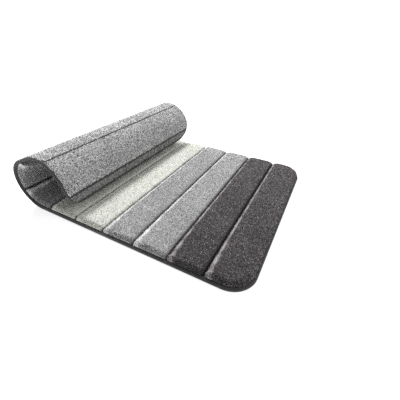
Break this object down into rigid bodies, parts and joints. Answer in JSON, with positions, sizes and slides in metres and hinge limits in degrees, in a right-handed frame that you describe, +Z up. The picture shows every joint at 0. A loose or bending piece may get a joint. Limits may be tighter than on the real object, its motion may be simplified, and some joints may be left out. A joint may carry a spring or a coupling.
{
  "type": "bath mat",
  "caption": "Padded plush bath mat with dark, grey and cream cross stripes in sewn channels, bound edge, one end curled over to show its grey backing.",
  "frame": {"origin": "on the floor under the middle of the mat's bounding box while its end is curled", "axes": "+X along the mat towards its flat end, +Y across the mat, +Z up"},
  "size_m": [0.5634, 0.5, 0.1368],
  "materials": {
    "pile_dark": "dark grey microfibre plush, matt",
    "pile_grey": "mid grey microfibre plush, matt",
    "pile_cream": "cream microfibre plush, matt",
    "foam": "open-cell memory foam",
    "backing": "grey heathered brushed non-slip backing",
    "binding": "dark grey folded binding tape, stitched",
    "thread": "dark polyester sewing thread"
  },
  "bodies": {
    "flat": {"backing_flat": "backing", "foam_flat": "foam", "pile_stripe_1": "pile_dark", "pile_stripe_2": "pile_dark", "pile_stripe_3": "pile_grey", "pile_stripe_4": "pile_grey", "pile_stripe_5": "pile_cream", "pile_stripe_6": "pile_cream", "pile_stripe_7": "pile_grey", "stitch_line_1": "thread", "stitch_line_2": "thread", "stitch_line_3": "thread", "stitch_line_4": "thread", "stitch_line_5": "thread", "stitch_line_6": "thread", "binding_flat": "binding"},
    "curl_1": {"backing_curl_1": "backing", "foam_curl_1": "foam", "pile_curl_1_stripe_7": "pile_grey", "binding_curl_1_near": "binding", "binding_curl_1_far": "binding", "stitch_line_7": "thread"},
    "curl_2": {"backing_curl_2": "backing", "foam_curl_2": "foam", "pile_curl_2_stripe_8": "pile_grey", "binding_curl_2_near": "binding", "binding_curl_2_far": "binding"},
    "curl_3": {"backing_curl_3": "backing", "foam_curl_3": "foam", "pile_curl_3_stripe_8": "pile_grey", "binding_curl_3_near": "binding", "binding_curl_3_far": "binding", "stitch_line_8": "thread"},
    "curl_4": {"backing_curl_4": "backing", "foam_curl_4": "foam", "pile_curl_4_stripe_9": "pile_dark", "binding_curl_4_near": "binding", "binding_curl_4_far": "binding"},
    "curl_5": {"backing_curl_5": "backing", "foam_curl_5": "foam", "pile_curl_5_stripe_9": "pile_dark", "binding_curl_5_near": "binding", "binding_curl_5_far": "binding", "stitch_line_9": "thread"},
    "curl_6": {"backing_curl_6": "backing", "foam_curl_6": "foam", "pile_curl_6_stripe_10": "pile_dark", "binding_curl_6_near": "binding", "binding_curl_6_far": "binding"},
    "curl_7": {"backing_curl_7": "backing", "foam_curl_7": "foam", "pile_curl_7_stripe_10": "pile_dark", "binding_curl_7_near": "binding", "binding_curl_7_far": "binding"},
    "curl_8": {"backing_curl_8": "backing", "foam_curl_8": "foam", "pile_curl_8_stripe_10": "pile_dark", "binding_curled_end": "binding"}
  },
  "joints": [
    {"name": "unroll_1", "type": "hinge", "parent": "flat", "child": "curl_1", "pos_m": [-0.23312, 0, 0.0145], "axis": [0, -1, 0], "range_deg": [0, 38]},
    {"name": "unroll_2", "type": "hinge", "parent": "curl_1", "child": "curl_2", "pos_m": [-0.26389, 0, 0.03854], "axis": [0, -1, 0], "range_deg": [0, 47]},
    {"name": "unroll_3", "type": "hinge", "parent": "curl_2", "child": "curl_3", "pos_m": [-0.2673, 0, 0.07744], "axis": [0, -1, 0], "range_deg": [0, 48.5]},
    {"name": "unroll_4", "type": "hinge", "parent": "curl_3", "child": "curl_4", "pos_m": [-0.24042, 0, 0.10577], "axis": [0, -1, 0], "range_deg": [0, 22.5]},
    {"name": "unroll_5", "type": "hinge", "parent": "curl_4", "child": "curl_5", "pos_m": [-0.20474, 0, 0.12165], "axis": [0, -1, 0], "range_deg": [0, 23]},
    {"name": "unroll_6", "type": "hinge", "parent": "curl_5", "child": "curl_6", "pos_m": [-0.1657, 0, 0.12233], "axis": [0, -1, 0], "range_deg": [0, 39]},
    {"name": "unroll_7", "type": "hinge", "parent": "curl_6", "child": "curl_7", "pos_m": [-0.13891, 0, 0.1014], "axis": [0, -1, 0], "range_deg": [0, 34]},
    {"name": "unroll_8", "type": "hinge", "parent": "curl_7", "child": "curl_8", "pos_m": [-0.12902, 0, 0.07097], "axis": [0, -1, 0], "range_deg": [0, 36]}
  ],
  "couplings": [
    {"joint": "unroll_2", "follows": "unroll_1", "ratio": 1.2368},
    {"joint": "unroll_3", "follows": "unroll_1", "ratio": 1.2763},
    {"joint": "unroll_4", "follows": "unroll_1", "ratio": 0.5921},
    {"joint": "unroll_5", "follows": "unroll_1", "ratio": 0.6053},
    {"joint": "unroll_6", "follows": "unroll_1", "ratio": 1.0263},
    {"joint": "unroll_7", "follows": "unroll_1", "ratio": 0.8947},
    {"joint": "unroll_8", "follows": "unroll_1", "ratio": 0.9474}
  ]
}
